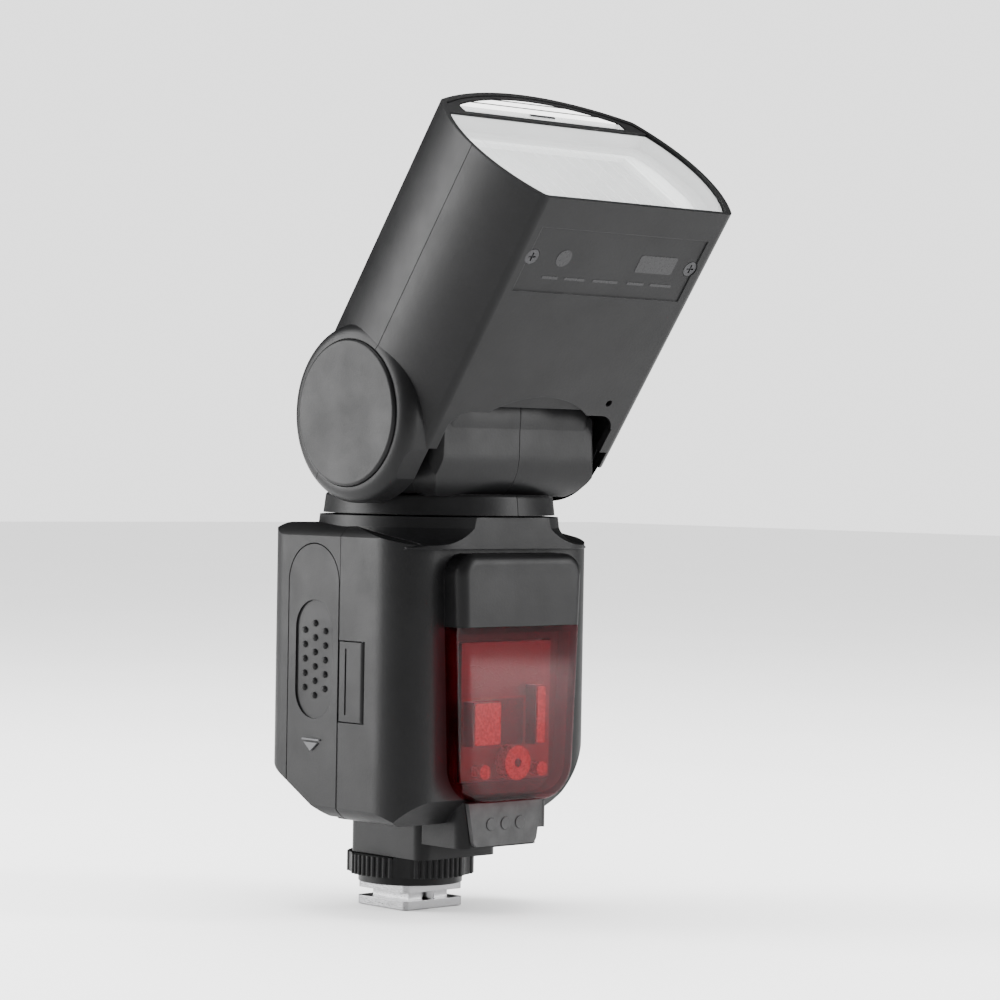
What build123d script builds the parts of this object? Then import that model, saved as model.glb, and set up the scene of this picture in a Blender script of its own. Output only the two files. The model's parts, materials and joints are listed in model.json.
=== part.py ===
from build123d import *
import os
from math import cos, pi, radians, sin

# Speedlight flash on a standard hot-shoe foot.
# Millimetres. The origin is the centre of the foot's underside, +Z is up, and the flash faces -Y.
# The battery door is on the -X side and the control panel faces +Y.

# ---- foot and lock ring ----
FOOT_WIDTH = 18.6          # hot-shoe foot across the rails
FOOT_LENGTH = 18.0
FOOT_THICK = 2.0
NECK_WIDTH = 12.4          # part of the foot that passes between the shoe's lips
NECK_LENGTH = 13.0
BOSS_RADIUS = 9.2          # threaded boss that the lock ring turns on
BOSS_BOTTOM = 6.2
PLATE_BOTTOM = 4.0         # pressure plate, raised
PLATE_THICK = 1.8
RING_RADIUS = 15.4
RING_BOTTOM = 7.9
RING_TOP = 12.7
RING_RIBS = 60
PIN_Y = -6.9               # lock pin, ahead of the contacts
PIN_RADIUS = 1.25
CONTACT_DEPTH = 5.0
# centre contact and the four small ones: X, Y and radius
CONTACT_SPOTS = [(0.0, 0.0, 1.1), (-2.9, 2.6, 0.8), (2.9, 2.6, 0.8), (-1.6, -2.6, 0.8), (2.4, -2.6, 0.8)]

# ---- body ----
HALF_WIDTH = 31.6
FRONT_Y = -32.3
REAR_Y = 18.5
BOTTOM_Z = 22.7
TOP_Z = 92.3               # level top, behind the seam
SHOULDER_SLOPE = 0.204     # fall of the top ahead of the seam
FRONT_CHAMFER = 6.0        # lower front edge
CORNER_ARC = 20.5          # the right front corner rounds off below, seen along a diagonal
CORNER_ARC_Z = 42.0
DIAGONAL = (0.73, -0.68)
WALL = 2.0
FRONT_CORNER = 10.3        # vertical corners
REAR_CORNER = 7.0
SEAM_Y = -9.4              # joint between front and rear shells
SEAM_GAP = 0.1
BUMP_Y = -38.6             # front face of the raised front panel
BUMP_TOP = 86.0
BUMP_HALF_TOP = 19.8
BUMP_HALF_LOW = 17.4
BUMP_BOTTOM = 28.0
WINDOW_TOP = 69.0
WINDOW_WALL = 1.6
CHIN_HALF = 12.5           # lower front block that holds the power socket
CHIN_BOTTOM = 17.0
CHIN_TOP = 27.9
BASE_FRONT_Y = -17.9
BASE_REAR_Y = 9.0
BASE_BOTTOM = 12.9
SOCKET_HINGE_X = 12.3
SOCKET_HINGE_Y = FRONT_Y - 0.7
PORT_HINGE_X = 30.8        # hinge of the side socket cover
PORT_HINGE_Y = -11.4
PORT_MIDDLE_Y = -16.5

# ---- battery door ----
DOOR_FRONT = -9.0
DOOR_REAR = 9.2
DOOR_BOTTOM = 23.4
DOOR_TOP = 87.4
DOOR_GAP = 0.25
HINGE_X = -30.4
HINGE_Y = -17.0
HINGE_RADIUS = 1.2
LEAF_LOW = 46.2
LEAF_HIGH = 64.9
GRIP_Y = -0.2              # centre of the door's finger recess
GRIP_Z = 60.2
CELL_RADIUS = 7.1
CELL_LENGTH = 50.5
CELL_PITCH = 14.25
CELL_FIRST_Z = 36.0
CELL_Y = 0.1
BOX_FRONT_X = -27.2        # battery box, from its open side to its end wall
BOX_BACK_X = 29.2
BOX_TOP = 86.45

# ---- control panel ----
FUNCTION_X = (-16.5, -5.5, 5.5, 16.5)
FUNCTION_Z = 56.8
DIAL_Z = 45.6
ROUND_KEYS = {"mode_button": (-18.5, 45.6), "test_button": (18.5, 49.5)}
SWITCH_Z = 41.5
SWITCH_SLOT = (11.4, 20.4)
SWITCH_KNOB = (11.8, 16.0)
SWITCH_PLATE = (7.2, 20.6)    # closes the slot from behind at both ends of the travel
BOARD_BACK = 13.8
SCREW_SPOTS = [(-20.0, -15.5), (20.0, -15.5), (-21.0, -6.0), (21.0, -6.0)]
SCREW_LENGTH = 3.4         # short, so that they stay clear of the battery box

# ---- pan and tilt ----
PAN_Y = -8.34
COLLAR_RADIUS = 28.6
COLLAR_TOP = 94.4
NECK_BOTTOM = 94.8
NECK_RADIUS = 28.0
NECK_RIM_TOP = 99.6
TILT_Y = -17.04
TILT_Z = 118.12
DRUM_RADIUS = 19.4
DRUM_HALF = 25.8
DRUM_ROUND = 5.0
REST_TILT = 55.0           # head angle above the horizon as stored
AXLE_RADIUS = 6.0
AXLE_INNER = 21.0
AXLE_OUTER = 33.0
HUB_RADIUS = 12.45         # hub of the bearing ring, inside the neck's foot
HUB_TOP = 99.4
WIRE_HOLE = 5.0            # channel for the head's wires
WIRE_Y = -13.0
RING_FLOOR = 90.4          # underside of the bearing ring
RING_SEAT_TOP = 93.0       # top of its seat in the collar

# ---- head, in its own frame: X across, Y towards its top, Z towards the flash lens ----
HEAD_LENGTH = 71.9
HEAD_UNDER = -20.4
HEAD_TOP_EDGE = 21.1
HEAD_CROWN = 28.5
HALF_UNDER = 29.8
HALF_SEAM = 36.4
HALF_TOP = 30.8
HEAD_WALL = 1.8
HEAD_SEAM = 0.5
CHEEK_RADIUS = 20.8        # round boss over the left end of the tilt axis
CHEEK_X = 36.6
CHEEK_ROUND = 3.4
DOME_RADIUS = 20.4         # lower, sloping boss over the right end
DOME_TOP_RADIUS = 13.8
DOME_EDGE_X = 28.0
CAP_RADII = {-1: 17.0, 1: 12.6}    # pivot caps, by side
CAP_X = 37.4
REAR_TIP_RADIUS = 21.5     # reach of the lower end of the wall behind the pivot
REAR_END = radians(125)    # the wall behind the pivot ends this far round from the lens direction
NECK_ROOM = 26.15          # half width of the room for the neck
RISER_REACH = 23.3         # room swept by the neck's riser, from the tilt axis
CUT_OUT_U = 15.0           # front edge of the opening in the underside
NOTCH_RADIUS = 28.4        # curved recess that passes over the neck's round foot
NOTCH_ROOF = -18.05
PAN_Y_AHEAD = TILT_Y - PAN_Y
HEAD_SCREW_X = (-25.3, 25.3)
HEAD_SCREW_U = 56.6
BEZEL_BACK = 66.6
RIM_WALL = 1.1             # the shells are thinner round the lens frame
LENS_EDGE_TOP = 16.4
PANEL_V = (18.1, 19.3)     # wide panel, between these heights
PANEL_HALF = 25.5
CARD_V = (20.9, 21.7)      # bounce card above it
CARD_HALF = 21.5
PANEL_LIP = (17.5, 19.9)   # thick front lips of the panel and the card
LIP_BACK = 70.0
CARD_LIP_LOW = 20.3
CARD_LIP_HALF = 25.0
CARD_LIP_INSET = 2.3
LENS_LEDGE = 4.4           # how far in from the outline the lens still rests on the frame

# ---- zoom: the carriage carries tube and reflector along two rods, driven by a screw ----
TUBE_U = 34.5
TUBE_V = -1.2
MOUTH_U = 52.0
ROD_X = 26.2
ROD_V = -12.0
SCREW_X = 29.4
SCREW_V = 8.0
CARRIAGE_BACK = 27.0
CARRIAGE_FRONT = 30.4


def block(x0, x1, y0, y1, z0, z1):
    """Box between two opposite corners."""
    return Pos((x0 + x1) / 2, (y0 + y1) / 2, (z0 + z1) / 2) * Box(x1 - x0, y1 - y0, z1 - z0)


def post(radius, x, y, z0, z1):
    """Cylinder along Z."""
    return Pos(x, y, (z0 + z1) / 2) * Cylinder(radius, z1 - z0)


def bar_x(radius, x0, x1, y, z):
    """Cylinder along X."""
    return Pos((x0 + x1) / 2, y, z) * Rot(0, 90, 0) * Cylinder(radius, x1 - x0)


def bar_y(radius, x, y0, y1, z):
    """Cylinder along Y."""
    return Pos(x, (y0 + y1) / 2, z) * Rot(90, 0, 0) * Cylinder(radius, y1 - y0)


def tube(outer, inner, z0, z1, x=0.0, y=0.0):
    """Ring about a vertical axis."""
    return post(outer, x, y, z0, z1) - post(inner, x, y, z0 - 1, z1 + 1)


def prism_yz(points, x0, x1):
    """Outline given as (y, z) pairs, run along X."""
    face = make_face(Polyline(*[(x0, y, z) for y, z in points], close=True))
    return extrude(face, amount=x1 - x0, dir=(1, 0, 0))


def prism_xz(face_plan, y0, y1):
    """Sketch drawn in X and Z, run along Y from y0 to y1."""
    plane = Plane(origin=(0, y0, 0), x_dir=(1, 0, 0), z_dir=(0, -1, 0))
    return extrude(plane * face_plan, amount=y1 - y0, dir=(0, 1, 0))


def group(solids):
    """Several loose solids kept in one node."""
    return Compound(children=list(solids))


def only_solid(shape):
    """Largest solid of a cut result."""
    return sorted(shape.solids(), key=lambda piece: piece.volume)[-1]


# ============================================================ foot

def make_foot():
    plate_face = RectangleRounded(FOOT_WIDTH, FOOT_LENGTH, 1.2)
    plate = extrude(plate_face, amount=FOOT_THICK)
    plate += block(-NECK_WIDTH / 2, NECK_WIDTH / 2, -NECK_LENGTH / 2, NECK_LENGTH / 2,
                   FOOT_THICK, BOSS_BOTTOM)
    plate += post(BOSS_RADIUS, 0, 0, BOSS_BOTTOM, BASE_BOTTOM)
    pocket = block(-4.6, 4.6, -4.4, 5.6, -1, CONTACT_DEPTH)
    wire_hole = post(3.2, 0, 0.6, CONTACT_DEPTH, BASE_BOTTOM + 1)
    pin_hole = post(PIN_RADIUS + 0.08, 0, PIN_Y, -1, BASE_BOTTOM + 1)
    return plate - pocket - wire_hole - pin_hole


def make_contacts():
    return group(post(radius, x, y, 0.05, CONTACT_DEPTH) for x, y, radius in CONTACT_SPOTS)


def make_contact_block():
    insulator = block(-4.6, 4.6, -4.4, 5.6, 0.05, CONTACT_DEPTH)
    for x, y, radius in CONTACT_SPOTS:
        insulator -= post(radius, x, y, -1, CONTACT_DEPTH + 1)
    return insulator


def make_pressure_plate():
    face = RectangleRounded(FOOT_WIDTH, FOOT_LENGTH, 1.5) - Rectangle(NECK_WIDTH + 0.3, NECK_LENGTH + 0.3)
    plate = Pos(0, 0, PLATE_BOTTOM) * extrude(face, amount=PLATE_THICK)
    return plate - post(PIN_RADIUS + 0.3, 0, PIN_Y, 0, RING_TOP)


def make_lock_ring():
    """Knurled wheel: ribs round the rim, with smooth scallops between the groups."""
    hub = post(12.6, 0, 0, PLATE_BOTTOM + PLATE_THICK + 0.05, RING_BOTTOM)
    rim = post(RING_RADIUS - 0.5, 0, 0, RING_BOTTOM, RING_TOP)
    rib_angle = 360 / RING_RIBS
    ribs = []
    for index in range(RING_RIBS):
        if index % 12 in (0, 1, 2):
            continue
        rib = post(0.55, RING_RADIUS - 0.55, 0, RING_BOTTOM, RING_TOP)
        ribs.append(Rot(0, 0, index * rib_angle) * rib)
    ring = hub + rim + ribs
    for index in range(5):
        scallop = post(6.0, RING_RADIUS + 5.2, 0, RING_BOTTOM - 0.01, RING_TOP + 0.01)
        ring -= Rot(0, 0, (index * 12 + 1) * rib_angle) * scallop
    return ring - post(BOSS_RADIUS + 0.2, 0, 0, 0, RING_TOP + 1)


def make_lock_pin():
    return post(PIN_RADIUS, 0, PIN_Y, 0.15, 11.5)


# ============================================================ body shells

def body_plan(inset=0.0):
    """Seen from above: wide round front corners, tighter rear ones."""
    side, front, rear = HALF_WIDTH - inset, FRONT_Y + inset, REAR_Y - inset
    face = make_face(Polyline((-side, front), (side, front), (side, rear), (-side, rear), close=True))
    face = fillet([v for v in face.vertices() if v.Y < 0], FRONT_CORNER - inset)
    return fillet([v for v in face.vertices() if v.Y > REAR_Y - inset - 1], REAR_CORNER - inset)


def diagonal_limit(inset=0.0):
    """Everything inside the rounded lower end of the right front corner, seen along the level diagonal."""
    radius = CORNER_ARC - inset
    floor = CORNER_ARC_Z - radius
    middle = radius * cos(pi / 4)
    outward = Vector(*DIAGONAL, 0).normalized()
    plane = Plane(origin=(0, 0, 0), x_dir=outward, z_dir=outward.cross(Vector(0, 0, 1)))
    edges = (Polyline((CORNER_ARC, floor), (-90, floor), (-90, 130), (CORNER_ARC + radius, 130),
                      (CORNER_ARC + radius, CORNER_ARC_Z))
             + ThreePointArc((CORNER_ARC + radius, CORNER_ARC_Z),
                             (CORNER_ARC + middle, CORNER_ARC_Z - middle), (CORNER_ARC, floor)))
    return extrude(plane * make_face(edges), amount=90, both=True)


def body_solid(inset=0.0):
    """Plan, side and front outlines run through each other; inset gives the inside of the walls."""
    low, high = BOTTOM_Z + inset, TOP_Z - inset
    back, front = REAR_Y - inset, FRONT_Y + inset
    over = 4.0             # the side outline runs past the others, so that only its slopes cut
    slope = (34.0 - BOTTOM_Z) / (14.8 + 5.3)
    side = [(front - over, low + FRONT_CHAMFER + over), (front + FRONT_CHAMFER + over, low - over),
            (-5.3 - over / slope, low - over), (back, low + (back + 5.3 - inset) * slope),
            (back + over, low + (back + over + 5.3 - inset) * slope), (back + over, high - 4.5 - over * 1.3),
            (back - 3.5 - over, high + over * 1.2), (SEAM_Y + 5, high + over * 1.2),
            (SEAM_Y + 5, high + 5 * SHOULDER_SLOPE),
            (front - over, high - (SEAM_Y - front + over) * SHOULDER_SLOPE)]
    middle = (low + high) / 2
    front_view = Pos(0, middle) * RectangleRounded(2 * HALF_WIDTH + 2 - 2 * inset, high - low, 6.5 - inset * 0.5)
    solid = (extrude(body_plan(inset), amount=120) & prism_yz(side, -40, 40)) & prism_xz(front_view, -60, 60)
    return solid & diagonal_limit(inset)


def bump_outline(inset=0.0, top=BUMP_TOP):
    """Front panel outline: slightly narrower at the foot of the window, with round lower corners."""
    low = BUMP_BOTTOM + inset
    wide, narrow = BUMP_HALF_TOP - inset, BUMP_HALF_LOW - inset
    face = make_face(Polyline((-wide, top), (-narrow, low), (narrow, low), (wide, top), close=True))
    face = fillet([v for v in face.vertices() if v.Y < 50], 9.0 - inset)
    return fillet([v for v in face.vertices() if v.Y > top - 1], 5.0 - inset)


def bump_solid(inset=0.0):
    solid = prism_xz(bump_outline(inset), BUMP_Y + inset, FRONT_Y + 2.5)
    front_face = solid.faces().sort_by(Axis.Y)[0]
    return fillet(front_face.edges(), 2.4 - inset * 0.8)


def collar_solid():
    """Shoulder that flares down from the pan seam into the top of the body."""
    profile = make_face(
        Polyline((0, 87.0), (35.5, 87.0), (35.5, 87.4), (34.8, 87.9))
        + RadiusArc((34.8, 87.9), (COLLAR_RADIUS + 0.3, 91.8), 6.5)
        + Polyline((COLLAR_RADIUS + 0.3, 91.8), (COLLAR_RADIUS, COLLAR_TOP), (0, COLLAR_TOP), (0, 87.0)))
    flare = Pos(0, PAN_Y, 0) * revolve(Plane.XZ * profile, axis=Axis.Z, revolution_arc=360)
    front, rear = FRONT_Y - 2.2, REAR_Y + 2.0
    plan = Pos(0, (front + rear) / 2) * RectangleRounded(2 * HALF_WIDTH - 0.4, rear - front, 13)
    return flare & extrude(plan, amount=200)


def door_outline(grow=0.0, low=DOOR_BOTTOM):
    """Side view of the door: straight sides under a round top."""
    half = (DOOR_REAR - DOOR_FRONT) / 2 + grow
    middle = (DOOR_REAR + DOOR_FRONT) / 2
    spring_z = DOOR_TOP - (DOOR_REAR - DOOR_FRONT) / 2
    plane = Plane(origin=(0, middle, 0), x_dir=(0, 1, 0), z_dir=(1, 0, 0))
    flat = Pos(0, (low + spring_z) / 2) * Rectangle(2 * half, spring_z - low)
    face = flat + Pos(0, spring_z) * Circle(half)
    return plane * face


def door_prism(grow, low, x0, x1):
    return Pos(x0, 0, 0) * extrude(door_outline(grow, low), amount=x1 - x0)


def make_shells():
    outer = body_solid()
    shell = outer - body_solid(WALL)
    bump = bump_solid()
    upper_bump = bump & block(-40, 40, -60, 0, WINDOW_TOP + 0.1, 120)
    shell += upper_bump - body_solid(WALL)
    chin = block(-CHIN_HALF, CHIN_HALF, FRONT_Y, BASE_FRONT_Y - 0.15, CHIN_BOTTOM, CHIN_TOP)
    chin = fillet(chin.edges().filter_by(Axis.Z).group_by(Axis.Y)[0], 3.0)
    shell += chin - body_solid(WALL)
    # opening behind the window, power socket recess, door opening, hinge notch
    shell -= block(-14.5, 14.5, -60, FRONT_Y + WALL + 0.5, 32.5, WINDOW_TOP - 3.5)
    shell -= block(-8.2, 8.2, -60, FRONT_Y + 9.6, 18.6, 26.6)
    shell -= door_prism(DOOR_GAP, 15.0, -40, -27.3)
    shell -= block(-40, -28.2, HINGE_Y - 1.6, DOOR_FRONT, LEAF_LOW - 0.25, LEAF_HIGH + 0.25)
    shell -= post(0.62, HINGE_X, HINGE_Y, LEAF_LOW - 3.0, LEAF_HIGH + 3.0)
    # neck wiring opening in the top
    shell -= post(16.0, 0, PAN_Y, 80, 100)
    # side sockets recess
    shell -= block(29.0, 40, -21.9, PORT_HINGE_Y + 1.1, 39.0, 61.0)
    # control panel: display window, function keys, dial recess, round keys, power switch slot
    inside, outside = REAR_Y - WALL - 1, REAR_Y + 5
    shell -= block(-22.0, 22.0, inside, outside, 61.0, 82.5)
    for x in FUNCTION_X:
        shell -= block(x - 4.3, x + 4.3, inside, outside, FUNCTION_Z - 1.9, FUNCTION_Z + 1.9)
    shell -= bar_y(8.9, 0, REAR_Y - 1.5, outside, DIAL_Z) + bar_y(5.5, 0, inside, outside, DIAL_Z)
    for x, z in ROUND_KEYS.values():
        shell -= bar_y(3.2, x, inside, outside, z)
    shell -= block(*SWITCH_SLOT, inside, outside, SWITCH_Z - 2.1, SWITCH_Z + 2.1)
    for x, y in SCREW_SPOTS:
        shell -= post(2.0, x, y, 10, BOTTOM_Z + 1.3) + post(1.0, x, y, 10, BOTTOM_Z + SCREW_LENGTH + 0.4)
    front = shell & block(-60, 60, -60, SEAM_Y - SEAM_GAP / 2, 0, 200)
    rear = shell & block(-60, 60, SEAM_Y + SEAM_GAP / 2, 60, 0, 200)
    return only_solid(front), only_solid(rear)


def make_window():
    """Clear cover of the assist lamp: a hollow cap that wraps the lower part of the front panel."""
    cover = bump_solid() & block(-40, 40, -60, 0, 0, WINDOW_TOP)
    cavity = bump_solid(WINDOW_WALL) & block(-40, 40, -60, 0, 0, WINDOW_TOP - WINDOW_WALL)
    return only_solid(cover - cavity - body_solid())


def make_assist_board():
    """Board behind the window with its reflector block and small emitters."""
    board = block(-14.2, 14.2, FRONT_Y - 0.6, FRONT_Y + 0.8, 32.8, WINDOW_TOP - 3.8)
    board += block(-13.5, -4.8, -36.6, FRONT_Y, 41.2, 51.6)
    board += block(6.4, 9.6, -36.2, FRONT_Y, 41.0, 55.0)
    return board


def make_assist_lenses():
    lenses = [bar_y(4.1, 0.8, -36.6, FRONT_Y - 0.65, 37.0) - bar_y(1.1, 0.8, -37.0, -36.0, 37.0)]
    for x in (-9.2, 9.0):
        lenses.append(bar_y(1.7, x, -36.2, FRONT_Y - 0.65, 35.2))
    return group(lenses)


def make_socket():
    """Three-way socket for an outside battery pack."""
    body = block(-8.1, 8.1, FRONT_Y + 2.2, FRONT_Y + 9.4, 18.7, 26.5)
    for x in (-4.6, 0.0, 4.6):
        body -= bar_y(1.3, x, FRONT_Y, FRONT_Y + 7.5, 22.6)
    return body


def make_socket_cover():
    """Rubber flap with a short plug behind it and a round hinge edge."""
    face = make_face(Polyline((-11.9, 27.8), (-9.9, 17.5), (9.9, 17.5), (11.8, 27.8), close=True))
    face = fillet([v for v in face.vertices() if v.Y < 20], 1.6)
    flap = prism_xz(face, FRONT_Y - 1.2, FRONT_Y - 0.1)
    flap += block(-7.0, 7.0, FRONT_Y - 0.2, FRONT_Y + 1.3, 19.6, 25.8)
    flap += block(10.4, SOCKET_HINGE_X, FRONT_Y - 1.1, FRONT_Y - 0.3, 21.0, 27.4)
    return flap + post(0.6, SOCKET_HINGE_X, SOCKET_HINGE_Y, 21.0, 27.4)


def make_base_block():
    """Block between body and foot, hollow for the lock pin and the wires."""
    face = Pos(0, (BASE_FRONT_Y + BASE_REAR_Y) / 2) * RectangleRounded(
        2 * CHIN_HALF, BASE_REAR_Y - BASE_FRONT_Y, 3.0)
    solid = Pos(0, 0, BASE_BOTTOM) * extrude(face, amount=18)
    solid -= body_solid()
    solid = only_solid(solid)
    solid -= block(-9.5, 9.5, -15.0, 6.0, BASE_BOTTOM + 2.2, 40)
    return solid - post(PIN_RADIUS + 0.08, 0, PIN_Y, 0, 20) - post(3.2, 0, 0.6, 0, 20)


def make_screws():
    screws = []
    for x, y in SCREW_SPOTS:
        screw = post(1.9, x, y, BOTTOM_Z + 0.1, BOTTOM_Z + 1.25) + post(0.95, x, y, BOTTOM_Z + 1, BOTTOM_Z + SCREW_LENGTH)
        cross = block(x - 1.1, x + 1.1, y - 0.22, y + 0.22, 10, BOTTOM_Z + 0.6)
        cross += block(x - 0.22, x + 0.22, y - 1.1, y + 1.1, 10, BOTTOM_Z + 0.6)
        screws.append(screw - cross)
    return group(screws)


# ============================================================ battery side

def make_battery_box():
    """Open-sided tray that holds four cells lying across the body, one above the other."""
    low, high = CELL_FIRST_Z - CELL_RADIUS - 1.2, BOX_TOP
    box = block(BOX_FRONT_X, BOX_BACK_X, -8.9, 9.1, low, high) & body_solid(WALL + 0.15)
    cavity = block(BOX_FRONT_X - 2, BOX_BACK_X - 1.2, -7.5, 7.7, CELL_FIRST_Z, high - 0.4)
    cavity += bar_x(7.6, BOX_FRONT_X - 2, BOX_BACK_X - 1.2, CELL_Y, CELL_FIRST_Z)
    return only_solid(box - cavity)


def make_cells():
    cells = []
    for index in range(4):
        z = CELL_FIRST_Z + index * CELL_PITCH
        flip = 1 if index % 2 else -1
        body_end = CELL_LENGTH / 2 - 1.2
        cell = bar_x(CELL_RADIUS, -CELL_LENGTH / 2, body_end, 0, 0)
        cell += bar_x(2.7, body_end - 0.5, CELL_LENGTH / 2, 0, 0)
        cells.append(Pos(-1.75, CELL_Y, z) * (cell if flip > 0 else Rot(0, 0, 180) * cell))
    return group(cells)


def make_contacts_rear():
    """Two contact plates with a coil spring on each cell's flat end."""
    pieces = []
    for pair in range(2):
        z0 = CELL_FIRST_Z + 2 * pair * CELL_PITCH
        plate = block(27.0, BOX_BACK_X - 1.25, -5.5, 5.5, z0 - 4.0, z0 + CELL_PITCH + 4.0)
        for index in range(2):
            plate += bar_x(3.0 - index * 0.6, 23.5, 27.4, CELL_Y, z0 + index * CELL_PITCH)
        pieces.append(plate)
    return group(pieces)


def make_door():
    """Side door cut from the wall itself, with an oval finger recess and its rows of raised dots."""
    skin = (body_solid() - body_solid(WALL)) & door_prism(0.0, DOOR_BOTTOM, -40, -27.6)
    door = only_solid(skin)
    recess = Plane(origin=(-HALF_WIDTH - 1, GRIP_Y, GRIP_Z), x_dir=(0, 1, 0), z_dir=(1, 0, 0)) * SlotOverall(
        28.0, 13.4, rotation=90)
    door -= extrude(recess, amount=1.45)
    for column, offset in ((-3.7, 0.0), (0.0, 1.7), (3.7, 0.0)):
        for row in range(-3, 4):
            z = row * 3.4 + offset
            if abs(z) < (8.0 if column else 11.5):
                door += Pos(-HALF_WIDTH + 0.5, GRIP_Y + column, GRIP_Z + z) * Sphere(0.8)
    return only_solid(door)


def make_door_contact():
    """Metal strip inside the door, with a domed contact for each cell."""
    strip = block(-29.5, -28.9, -6.6, 6.6, CELL_FIRST_Z - 4.0, CELL_FIRST_Z + 3 * CELL_PITCH + 3.0)
    for index in range(4):
        z = CELL_FIRST_Z + index * CELL_PITCH
        strip += Pos(-28.15, CELL_Y, z) * Rot(0, 90, 0) * Cone(3.0, 2.0, 1.7)
    return strip


def make_hinge_leaf():
    """Leaf beside the door: a flush tab with its knuckle, stepped inwards to a strip behind the door."""
    leaf = block(HINGE_X - HINGE_RADIUS, HINGE_X + 0.4, HINGE_Y, -9.6, LEAF_LOW, LEAF_HIGH)
    leaf += post(HINGE_RADIUS, HINGE_X, HINGE_Y, LEAF_LOW, LEAF_HIGH)
    leaf += block(HINGE_X - HINGE_RADIUS, -28.6, -10.7, -9.6, LEAF_LOW, LEAF_HIGH)
    leaf += block(-29.3, -28.6, -10.7, -7.4, LEAF_LOW, LEAF_HIGH)
    leaf -= block(-40, -HALF_WIDTH + 0.5, -12.1, -11.6, LEAF_LOW + 1.6, LEAF_HIGH - 1.6)
    return leaf - post(0.66, HINGE_X, HINGE_Y, 0, 100)


def make_hinge_pin():
    return post(0.6, HINGE_X, HINGE_Y, LEAF_LOW - 2.9, LEAF_HIGH + 2.9)


# ============================================================ electronics in the body

def make_main_board():
    board = block(-26, 26, 12.3, BOARD_BACK, 38.0, 84.0)
    for x, z, width, height in ((-14, 72, 11, 11), (6, 74, 8, 6), (16, 60, 9, 12), (-6, 52, 14, 8), (-18, 48, 6, 9)):
        board += block(x - width / 2, x + width / 2, 11.0, 12.4, z - height / 2, z + height / 2)
    for x in FUNCTION_X:
        board += bar_y(1.6, x, 13.7, 14.25, FUNCTION_Z)
    for x, z in ROUND_KEYS.values():
        board += bar_y(1.6, x, 13.7, 14.2, z)
    return board


def make_display():
    return block(-20.6, 20.6, 13.85, 16.4, 61.0, 81.6)


def make_display_window():
    return block(-21.9, 21.9, 16.5, 18.2, 61.1, 82.4)


def make_function_button(x):
    cap = block(x - 4.1, x + 4.1, 15.0, REAR_Y + 0.9, FUNCTION_Z - 1.7, FUNCTION_Z + 1.7)
    cap = fillet(cap.edges().group_by(Axis.Y)[-1], 0.5)
    return cap + block(x - 4.9, x + 4.9, 15.0, 16.2, FUNCTION_Z - 2.4, FUNCTION_Z + 2.4)


def make_round_key(x, z):
    cap = bar_y(3.0, x, 15.0, REAR_Y + 0.9, z)
    cap = fillet(cap.edges().group_by(Axis.Y)[-1], 0.5)
    return cap + bar_y(3.7, x, 15.0, 16.2, z)


def make_dial():
    """Control ring with a notched rim, round the set button."""
    dial = bar_y(8.5, 0, 17.2, REAR_Y + 1.5, DIAL_Z)
    dial = fillet(dial.edges().group_by(Axis.Y)[-1], 0.6)
    for index in range(36):
        notch = bar_y(0.28, 8.55 * cos(index * pi / 18), 16, 22, DIAL_Z + 8.55 * sin(index * pi / 18))
        dial -= notch
    dial += bar_y(5.3, 0, 14.5, 17.3, DIAL_Z)
    return dial - bar_y(4.2, 0, 10, 25, DIAL_Z)


def make_set_button():
    button = bar_y(4.0, 0, 14.6, REAR_Y + 1.7, DIAL_Z)
    return fillet(button.edges().group_by(Axis.Y)[-1], 0.6)


def make_power_switch():
    knob = block(*SWITCH_KNOB, 15.5, REAR_Y + 1.2, SWITCH_Z - 1.8, SWITCH_Z + 1.8)
    middle = sum(SWITCH_KNOB) / 2
    for x in (middle - 1.2, middle, middle + 1.2):
        knob -= block(x - 0.25, x + 0.25, REAR_Y + 0.7, 30, SWITCH_Z - 3, SWITCH_Z + 3)
    return knob + block(*SWITCH_PLATE, 15.5, 16.35, SWITCH_Z - 2.7, SWITCH_Z + 2.7)


def make_capacitor():
    can = post(10.1, 10.0, -19.6, 29.5, 74.0)
    can = fillet(can.edges(), 1.0)
    for x in (7.0, 13.0):
        can += post(0.5, x, -19.6, 73.5, 78.0)
    return can


def make_transformer():
    core = block(-24.0, -8.5, -27.0, -13.5, 33.0, 37.0) + block(-24.0, -8.5, -27.0, -13.5, 47.0, 51.0)
    return core + post(6.5, -16.2, -20.3, 36.9, 47.1)


def make_side_sockets():
    """Panel behind the side cover with a round sync jack over a flat data port."""
    middle = PORT_MIDDLE_Y
    panel = block(28.3, 29.3, middle - 5.8, middle + 5.8, 38.2, 61.8)
    sockets = panel + bar_x(2.9, 21.5, 29.6, middle, 55.0)
    sockets += block(22.0, 29.6, middle - 4.2, middle + 4.2, 42.6, 46.4)
    sockets -= bar_x(1.3, 22.5, 30.0, middle, 55.0)
    return sockets - block(23.0, 30.0, middle - 3.5, middle + 3.5, 43.3, 45.7)


def make_side_cover():
    """Rubber flap over the side sockets, with a finger tab on its free edge."""
    inner, front = PORT_HINGE_X - 0.8, -21.6
    cover = block(inner, HALF_WIDTH, front, PORT_HINGE_Y, 39.3, 60.7)
    cover = fillet(cover.edges().filter_by(Axis.X).group_by(Axis.Y)[0], 1.2)
    cover += post(0.8, PORT_HINGE_X, PORT_HINGE_Y, 39.3, 60.7)
    return cover + block(inner, HALF_WIDTH + 0.5, front, front + 0.9, 47.0, 53.0)


# ============================================================ neck

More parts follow.
